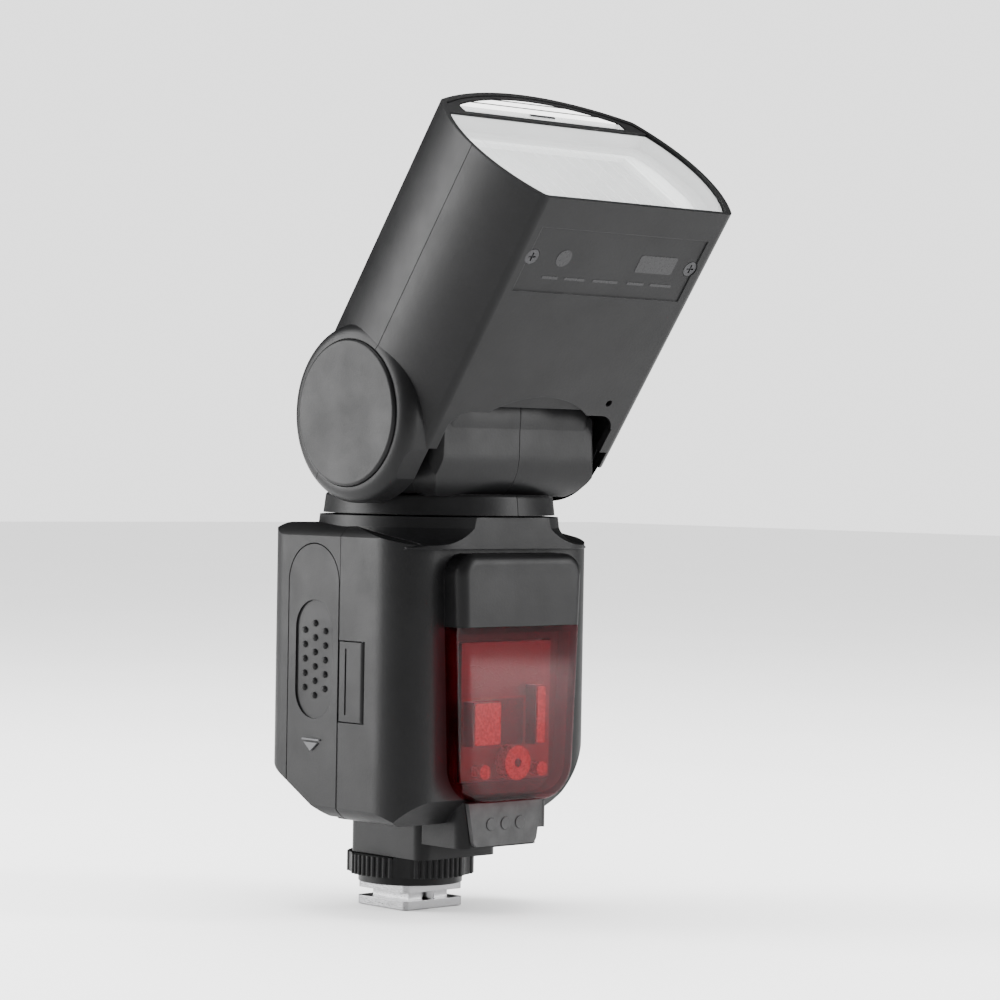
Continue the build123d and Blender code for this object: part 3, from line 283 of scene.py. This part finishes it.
def printed_board(name, mask, trace):
    """Solder mask over copper tracks, with the tracks raised under it."""
    shader = Shader(name)
    tracks = shader.cells(420.0, "DISTANCE_TO_EDGE")
    on_track = shader.remap(tracks, 1.0, 0.0, 0.03, 0.07)
    shader.colour(shader.mix(on_track, mask, trace))
    shader.rough(shader.remap(shader.noise(900.0, 3.0), 0.28, 0.42))
    shader.normal(shader.bump(on_track, 0.4, 0.00004, shader.rounded_edges(0.0001)))
    return shader.material


def printed_sleeve(name, base, stripe, rough):
    """Shrink sleeve of a cell or capacitor: gloss film with a paler band and slight wrinkles."""
    shader = Shader(name)
    wrinkle = shader.noise(260.0, 4.0, 0.55, (1.0, 6.0, 6.0))
    band = shader.remap(shader.noise(22.0, 1.0), 0.0, 1.0, 0.52, 0.55)
    shader.colour(shader.mix(band, base, stripe))
    shader.rough(shader.remap(wrinkle, rough, rough + 0.12))
    shader.normal(shader.bump(wrinkle, 0.2, 0.00008, shader.rounded_edges(0.0004)))
    return shader.set(Coat_Weight=0.4).material


def display_glass(name):
    shader = Shader(name)
    pixels = shader.cells(2600.0, "DISTANCE_TO_EDGE")
    shader.colour(shader.ramp(pixels, [(0.02, (0.20, 0.25, 0.22)), (0.2, (0.27, 0.33, 0.29))]))
    shader.rough(shader.remap(shader.noise(400.0, 3.0), 0.16, 0.26))
    shader.normal(shader.bump(pixels, 0.05, 0.00001))
    return shader.material


def clear_acrylic(name, tint, alpha, rough, ripple):
    """Clear moulded acrylic: mostly see-through, with fine ribs in its gloss."""
    shader = Shader(name)
    cloud = shader.noise(70.0, 3.0, 0.5)
    paler = tuple(min(1.0, channel * 1.06) for channel in tint)
    shader.colour(shader.ramp(cloud, [(0.3, tint), (0.7, paler)]))
    shader.rough(shader.remap(shader.noise(500.0, 5.0, 0.7), rough, rough + 0.08))
    shader.normal(shader.bump(cloud, 0.06, ripple, shader.rounded_edges(0.0002)))
    return shader.set(Alpha=alpha, Coat_Weight=1.0, Coat_Roughness=0.04).material


def faceted_lens(name):
    """Flash lens: frosted clear acrylic with a fine grid of moulded facets."""
    shader = Shader(name)
    facets = shader.cells(420.0, stretch=(1.0, 1.0, 0.4))
    cloud = shader.noise(60.0, 3.0, 0.5)
    shader.colour(shader.ramp(cloud, [(0.3, (0.86, 0.87, 0.87)), (0.7, (0.93, 0.94, 0.94))]))
    shader.rough(shader.remap(shader.noise(500.0, 5.0, 0.7), 0.10, 0.20))
    shader.normal(shader.bump(facets, 0.35, 0.00018, shader.rounded_edges(0.0003)))
    shader.set(Coat_Weight=0.7, Coat_Roughness=0.05)
    return shader.see_through((0.97, 0.98, 0.98), 0.66).material


def copper_winding(name):
    shader = Shader(name)
    turns = shader.node("TexWave", wave_type="BANDS", bands_direction="Z", Scale=900.0, Distortion=1.2)
    shader.link(shader.place, turns.inputs["Vector"])
    shader.colour(shader.ramp(turns.outputs["Fac"], [(0.2, (0.16, 0.05, 0.018)), (0.8, (0.52, 0.22, 0.09))]))
    shader.rough(shader.remap(turns.outputs["Fac"], 0.45, 0.25, 0.0, 1.0))
    shader.normal(shader.bump(turns.outputs["Fac"], 0.6, 0.0001))
    return shader.set(Metallic=0.7).material


def white_sheet(name):
    shader = Shader(name)
    fibre = shader.noise(1600.0, 4.0, 0.7)
    shader.colour(shader.ramp(fibre, [(0.3, (0.82, 0.82, 0.81)), (0.7, (0.90, 0.90, 0.89))]))
    shader.rough(shader.remap(fibre, 0.45, 0.62))
    shader.normal(shader.bump(fibre, 0.15, 0.00002, shader.rounded_edges(0.0001)))
    return shader.material


def bright_reflector(name):
    """Pressed aluminium with a fine orange-peel surface."""
    shader = Shader(name)
    peel = shader.noise(340.0, 3.0, 0.5)
    shader.colour(shader.ramp(peel, [(0.3, (0.84, 0.84, 0.85)), (0.7, (0.95, 0.95, 0.95))]))
    shader.rough(shader.remap(peel, 0.10, 0.24))
    shader.normal(shader.bump(peel, 0.25, 0.00012))
    return shader.set(Metallic=1.0).material


# darker and lighter colour of each clouded surface
BLACK = ((0.0030, 0.0030, 0.0032), (0.0050, 0.0050, 0.0053))
KEY_BLACK = ((0.008, 0.008, 0.0083), (0.013, 0.013, 0.0135))
CHROME = ((0.14, 0.14, 0.143), (0.30, 0.30, 0.305))
DARK_STEEL = ((0.020, 0.020, 0.021), (0.050, 0.050, 0.052))
SLOT_MATERIALS = {
    "black_plastic": moulded_plastic("black_shell_plastic", *BLACK, 0.42),
    "button_plastic": moulded_plastic("button_plastic", *KEY_BLACK, 0.34, 2600.0),
    "black_rubber": moulded_rubber("black_rubber"),
    "inner_plastic": moulded_plastic("inner_plastic", (0.03, 0.03, 0.032), (0.045, 0.045, 0.047), 0.5),
    "foot_metal": brushed_metal("satin_chrome", *CHROME, 0.20, (9.0, 1.0, 9.0)),
    "contact_metal": gold_contact("gold_plate"),
    "screw_metal": brushed_metal("blackened_steel", *DARK_STEEL, 0.34, (5.0, 5.0, 1.0)),
    "red_window": clear_red("red_acrylic"),
    "lamp_lens": red_lens("emitter_lens"),
    "board": printed_board("solder_mask", (0.012, 0.07, 0.035), (0.03, 0.16, 0.07)),
    "cell_wrap": printed_sleeve("cell_sleeve", (0.03, 0.03, 0.035), (0.55, 0.42, 0.12), 0.25),
    "display": display_glass("display_glass"),
    "clear_window": clear_acrylic("clear_window", (0.10, 0.11, 0.11), 0.30, 0.03, 0.00002),
    "capacitor_can": printed_sleeve("capacitor_sleeve", (0.015, 0.018, 0.04), (0.30, 0.32, 0.36), 0.3),
    "copper_core": copper_winding("copper_winding"),
    "clear_lens": faceted_lens("clear_lens"),
    "white_card": white_sheet("white_card"),
    "reflector_metal": bright_reflector("bright_reflector"),
    "tube_glass": clear_acrylic("quartz", (0.92, 0.94, 0.98), 0.55, 0.03, 0.00001),
}
ASSIST_BOARD = printed_board("assist_board_mask", (0.007, 0.006, 0.006), (0.014, 0.012, 0.012))


def ink_and_painted_light(name, colour, rough):
    """Thin printed or moulded mark with a little wear in its gloss; also used for pieces of painted shade and
    painted highlight.
    """
    shader = Shader(name)
    wear = shader.noise(900.0, 4.0, 0.6)
    paler = tuple(channel * 1.25 for channel in colour)
    shader.colour(shader.ramp(wear, [(0.3, colour), (0.7, paler)]))
    shader.rough(shader.remap(wear, rough, rough + 0.15))
    shader.normal(shader.bump(wear, 0.15, 0.00002))
    return shader.set(Specular_IOR_Level=0.16).material


def dress_cad_nodes():
    for name, node in nodes.items():
        material = ASSIST_BOARD if name == "assist_board" else SLOT_MATERIALS[slot_of[name]]
        node.data.materials.clear()
        node.data.materials.append(material)


# ================================================================== fine detail

FRAME_INK = ink_and_painted_light("frame_ink", (0.009, 0.009, 0.0095), 0.22)
FIELD_RED = ink_and_painted_light("field_red", (0.075, 0.005, 0.013), 0.40)
# pale colour: print on the rear keys, and a painted highlight on the door's moulded arrow
PALE_INK_AND_PAINTED_HIGHLIGHT = ink_and_painted_light("pale_ink_and_painted_highlight", (0.045, 0.045, 0.047), 0.45)
WHITE_SURROUND = white_sheet("white_surround")
GLOW_RED = red_lens("bright_emitter")
# dark colour: real dark parts behind the red window, and painted shade on the card lip and the wide panel's tab at
# the crown
DARK_PARTS_AND_PAINTED_SHADE = ink_and_painted_light("dark_parts_and_painted_shade", (0.010, 0.010, 0.011), 0.25)
SEGMENT_INK = ink_and_painted_light("segment_ink", (0.010, 0.011, 0.010), 0.35)

LEFT, RISE = Vector((-1, 0, 0)), Vector((0, 0, 1))
FORWARD, REARWARD = Vector((0, -1, 0)), Vector((0, 1, 0))
LABEL_RECESS = 0.25                 # depth of the label field in the head's underside

# how far each kind of mark starts and ends above the surface it stands on, in millimetres
MOULDED = (-0.02, 0.06)
DOOR_MARK = (-0.3, 0.2)
RUBBER_DISC = (-0.1, 0.12)
PRINTED_GLASS = (-0.02, 0.03)
PRINTED_CASE = (-0.03, 0.05)

in_label = Place(under_head(0, 0, -LABEL_RECESS), RIGHT, HEAD_AHEAD, -HEAD_UP)
on_door = Place((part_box("battery_door")[0].x, 0, 0), FORWARD, RISE, LEFT)
on_lamp_block = Place((0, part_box("assist_board")[0].y, 0), RIGHT, RISE, FORWARD)
on_flap = Place((0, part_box("socket_cover")[0].y, 0), RIGHT, RISE, FORWARD)
on_display = Place((0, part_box("display_window")[1].y, 0), LEFT, RISE, REARWARD)
on_rear_case = Place((0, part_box("body_rear_shell")[1].y, 0), LEFT, RISE, REARWARD)


def solid_piece(name, place, outline, heights, material, body, bevel=0.0):
    """A flat piece with any outline, between two heights over a local plane."""
    low, high = heights
    mesh = bpy.data.meshes.new(name)
    build = bmesh.new()
    base = [build.verts.new(place(x, y, low)) for x, y in outline]
    face = build.faces.new(base)
    grown = bmesh.ops.extrude_face_region(build, geom=[face])
    rise = place(0, 0, high) - place(0, 0, low)
    lifted = [item for item in grown["geom"] if isinstance(item, bmesh.types.BMVert)]
    bmesh.ops.translate(build, verts=lifted, vec=rise)
    bmesh.ops.recalc_face_normals(build, faces=build.faces)
    build.to_mesh(mesh)
    build.free()
    mesh.materials.append(material)
    thing = bpy.data.objects.new(name, mesh)
    bpy.context.scene.collection.objects.link(thing)
    if bevel:
        edge = thing.modifiers.new("edge", "BEVEL")
        edge.width = bevel * MM
        edge.segments = 3
        edge.limit_method = "ANGLE"
    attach(thing, body)


def oblong(x0, x1, y0, y1):
    """Plain rectangle."""
    return [(x0, y0), (x1, y0), (x1, y1), (x0, y1)]


def rounded(x0, x1, y0, y1, radius, steps=5):
    """Rectangle with round corners."""
    points = []
    corners = ((x1 - radius, y0 + radius, -90), (x1 - radius, y1 - radius, 0),
               (x0 + radius, y1 - radius, 90), (x0 + radius, y0 + radius, 180))
    for x, y, start in corners:
        for step in range(steps + 1):
            angle = math.radians(start + 90 * step / steps)
            points.append((x + radius * math.cos(angle), y + radius * math.sin(angle)))
    return points


def disc(x, y, radius, steps=40):
    """Round outline."""
    turns = [2 * math.pi * step / steps for step in range(steps)]
    return [(x + radius * math.cos(turn), y + radius * math.sin(turn)) for turn in turns]


def head_label():
    """A few plain raised marks in the shallow field on the head's underside."""
    marks = {"disc": disc(-15.5, 56.8, 2.2), "panel": rounded(8.0, 20.0, 54.6, 59.2, 0.6)}
    for index, (x, width) in enumerate(((-19.5, 5.0), (-12.5, 6.5), (-3.5, 8.0), (7.5, 5.5), (15.0, 7.0))):
        marks[f"bar_{index}"] = rounded(x, x + width, 51.2, 51.9, 0.3)
    for name, outline in marks.items():
        solid_piece(f"label_{name}", in_label, outline, MOULDED, FRAME_INK, "head")


def door_mark():
    """Small raised triangle under a bar, pointing the way the door slides, coloured pale as a painted highlight
    for the light the moulded arrow catches.
    """
    triangle = [(-2.6, 40.6), (2.4, 40.6), (-0.1, 38.6)]
    bar = oblong(-3.2, 3.0, 41.1, 41.5)
    # the pale colour of these two pieces is a painted highlight for the light on the moulded arrow
    solid_piece("door_triangle", on_door, triangle, DOOR_MARK, PALE_INK_AND_PAINTED_HIGHLIGHT, "door", 0.05)
    solid_piece("door_bar", on_door, bar, DOOR_MARK, PALE_INK_AND_PAINTED_HIGHLIGHT, "door")


def window_lamps():
    """Red field, dark square and bright emitter faces behind the red window."""
    field = rounded(-14.0, 14.0, 33.2, 52.4, 1.0)
    square = rounded(-4.4, 5.6, 41.0, 52.0, 0.5)
    block_face = rounded(-13.2, -5.1, 41.5, 51.3, 0.6)
    bar_face = rounded(6.7, 9.3, 41.3, 54.7, 0.6)
    core = disc(0.8, 37.0, 1.0)
    for name, outline, heights, material, bevel in (
            ("lamp_field", field, (-3.75, -3.62), FIELD_RED, 0.0),
            ("lamp_block_face", block_face, (-0.1, 0.25), GLOW_RED, 0.1),
            ("lamp_bar_face", bar_face, (-0.5, 0.1), GLOW_RED, 0.1)):
        solid_piece(name, on_lamp_block, outline, heights, material, "base", bevel)
    solid_piece("lamp_dark_square", on_lamp_block, square, (-3.63, -3.5), DARK_PARTS_AND_PAINTED_SHADE, "base")
    solid_piece("lamp_core", on_lamp_block, core, (-0.6, -0.2), DARK_PARTS_AND_PAINTED_SHADE, "base")


def lens_surround():
    """White frame between the reflector's mouth and the lens, in four strips."""
    half, low, high = LENS_HALF - 3.6, LENS_LOW + 3.4, LENS_HIGH - 2.0
    mouth_half, mouth_low, mouth_high = 24.5, -15.2, 12.8
    heights = (LENS_BACK - 2.4, LENS_BACK - 1.2)
    strips = {
        "left": (-half, -mouth_half, low, high),
        "right": (mouth_half, half, low, high),
        "low": (-mouth_half, mouth_half, low, mouth_low),
        "high": (-mouth_half, mouth_half, mouth_high, high),
    }
    for side, area in strips.items():
        solid_piece(f"lens_surround_{side}", on_lens, oblong(*area), heights, WHITE_SURROUND, "head")


def lip_details():
    """Painted shade: dark strips on the bounce card's lip stand for the shade in the gaps between the stacked
    lips, and a small dark slab as the wide panel's pull tab stands for the shade in its finger notch.
    """
    front = HEAD_RIM - 0.55
    # dark strips painted on the card's lip as the shade in the gaps between the stacked lips
    for index, (half, height) in enumerate(((22.0, 22.5), (14.5, 25.0))):
        line = oblong(-half, half, height, height + 0.45)
        solid_piece(f"card_lip_gap_shade_{index}", on_lens, line, (front - 0.35, front), DARK_PARTS_AND_PAINTED_SHADE, "card_slider")
    # dark slab painted as the shade in the wide panel's finger notch
    tab = rounded(-4.0, 4.0, 19.0, 19.8, 0.3)
    solid_piece("panel_tab_notch_shade", on_lens, tab, (front - 0.25, front + 0.15), DARK_PARTS_AND_PAINTED_SHADE, "panel_slider")


def socket_emboss():
    """Three plain raised discs on the rubber socket cover."""
    rubber = SLOT_MATERIALS["black_rubber"]
    for name, x in (("left", -4.6), ("middle", 0.0), ("right", 4.6)):
        solid_piece(f"socket_disc_{name}", on_flap, disc(x, 22.6, 1.5), RUBBER_DISC, rubber, "socket_flap",
                    0.05)


def display_segments():
    """Plain bars and blocks on the rear display, as a settings page without letters."""
    areas = {"gauge": rounded(-17.0, 6.0, 73.0, 76.2, 0.8)}
    for row, z in enumerate((78.2, 65.0)):
        for column in range(5):
            x = -17.5 + column * 7.4
            areas[f"tab_{row}_{column}"] = rounded(x, x + 5.2, z, z + 1.6, 0.4)
    for index in range(17):
        x = -17.0 + index * 2.1
        tall = 2.6 if index % 4 == 0 else 1.4
        areas[f"scale_{index}"] = oblong(x, x + 0.4, 68.6, 68.6 + tall)
    for name, outline in areas.items():
        solid_piece(f"display_{name}", on_display, outline, PRINTED_GLASS, SEGMENT_INK, "base")


def key_marks():
    """Small pale symbols over the keys: two bars and a triangle, none of them a letter."""
    marks = {
        "mode_mark": rounded(16.6, 20.4, 51.2, 51.7, 0.2),
        "test_mark": [(-19.6, 54.0), (-17.4, 54.0), (-18.5, 55.6)],
        "power_mark": rounded(-19.5, -13.0, 37.4, 37.9, 0.2),
    }
    for name, outline in marks.items():
        solid_piece(name, on_rear_case, outline, PRINTED_CASE, PALE_INK_AND_PAINTED_HIGHLIGHT, "base")


# ================================================================== stage, light and camera

FLOOR_HALF = 4.0
AIM = (0, -0.012, 0.10)
CAMERA_TURN = math.radians(-42.92)      # about the vertical, from straight in front
CAMERA_PITCH = math.radians(-0.58)
CAMERA_ROLL = math.radians(0.95)
CAMERA_DISTANCE = 0.7689                # level distance from the pan axis
CAMERA_HEIGHT = 0.10606
CAMERA_ASIDE = 0.01459
CAMERA_LENS = 115.15


def pale_floor():
    mesh = bpy.data.meshes.new("floor")
    half = FLOOR_HALF
    corners = [(-half, -half, 0), (half, -half, 0), (half, half, 0), (-half, half, 0)]
    mesh.from_pydata(corners, [], [(0, 1, 2, 3)])
    floor = bpy.data.objects.new("floor", mesh)
    bpy.context.scene.collection.objects.link(floor)
    floor.location.z = -0.0002
    shader = Shader("pale_floor").set(Base_Color=(0.84, 0.84, 0.84, 1.0))
    shader.rough(shader.remap(shader.noise(8.0, 3.0), 0.75, 0.85))
    floor.data.materials.append(shader.material)


def softbox(name, place, size, power, aim=AIM):
    data = bpy.data.lights.new(name, "AREA")
    data.shape = "RECTANGLE"
    data.size, data.size_y = size
    data.energy = power
    light = bpy.data.objects.new(name, data)
    bpy.context.scene.collection.objects.link(light)
    light.location = place
    light.rotation_euler = (Vector(aim) - Vector(place)).to_track_quat("-Z", "Y").to_euler()
    light.visible_camera = False
    return light


def pale_room(behind, mirrored):
    """A plain pale room: white behind and around the object, and dimmer in its glossy reflections."""
    world = bpy.data.worlds.new("pale_room")
    world.use_nodes = True
    tree = world.node_tree
    background = tree.nodes["Background"]
    background.inputs["Color"].default_value = (1.0, 1.0, 1.0, 1.0)
    rays = tree.nodes.new("ShaderNodeLightPath")
    strength = tree.nodes.new("ShaderNodeMapRange")
    strength.inputs["To Min"].default_value = behind
    strength.inputs["To Max"].default_value = mirrored
    tree.links.new(rays.outputs["Is Glossy Ray"], strength.inputs["Value"])
    tree.links.new(strength.outputs["Result"], background.inputs["Strength"])
    bpy.context.scene.world = world


def photo_camera():
    pan_axis = Vector(joints["head_pan"]["pos_m"])
    rise = Vector((0, 0, 1))
    back = Vector((math.sin(CAMERA_TURN), -math.cos(CAMERA_TURN), 0))
    right = Vector((math.cos(CAMERA_TURN), math.sin(CAMERA_TURN), 0))
    place = Vector((0, pan_axis.y, CAMERA_HEIGHT)) + back * CAMERA_DISTANCE + right * CAMERA_ASIDE
    ahead = rise * math.sin(CAMERA_PITCH) - back * math.cos(CAMERA_PITCH)
    upright = rise * math.cos(CAMERA_PITCH) + back * math.sin(CAMERA_PITCH)
    across = right * math.cos(CAMERA_ROLL) + upright * math.sin(CAMERA_ROLL)
    upward = upright * math.cos(CAMERA_ROLL) - right * math.sin(CAMERA_ROLL)
    data = bpy.data.cameras.new("camera")
    data.sensor_width = 36.0
    data.lens = CAMERA_LENS
    data.clip_start = 0.01
    camera = bpy.data.objects.new("camera", data)
    bpy.context.scene.collection.objects.link(camera)
    camera.matrix_world = Matrix((
        (across.x, upward.x, -ahead.x, place.x),
        (across.y, upward.y, -ahead.y, place.y),
        (across.z, upward.z, -ahead.z, place.z),
        (0, 0, 0, 1)))
    bpy.context.scene.camera = camera


def light_the_stage():
    pale_floor()
    pale_room(2.2, 0.04)
    softbox("side_softbox", (-0.64, 0.62, 0.30), (0.42, 0.9), 32.0)
    softbox("front_softbox", (0.60, -0.74, 0.40), (0.22, 0.7), 18.0)
    softbox("top_softbox", (0.05, -0.05, 0.95), (0.7, 0.7), 14.0)
    photo_camera()


dress_cad_nodes()
head_label()
door_mark()
window_lamps()
lens_surround()
lip_details()
socket_emboss()
display_segments()
key_marks()
light_the_stage()
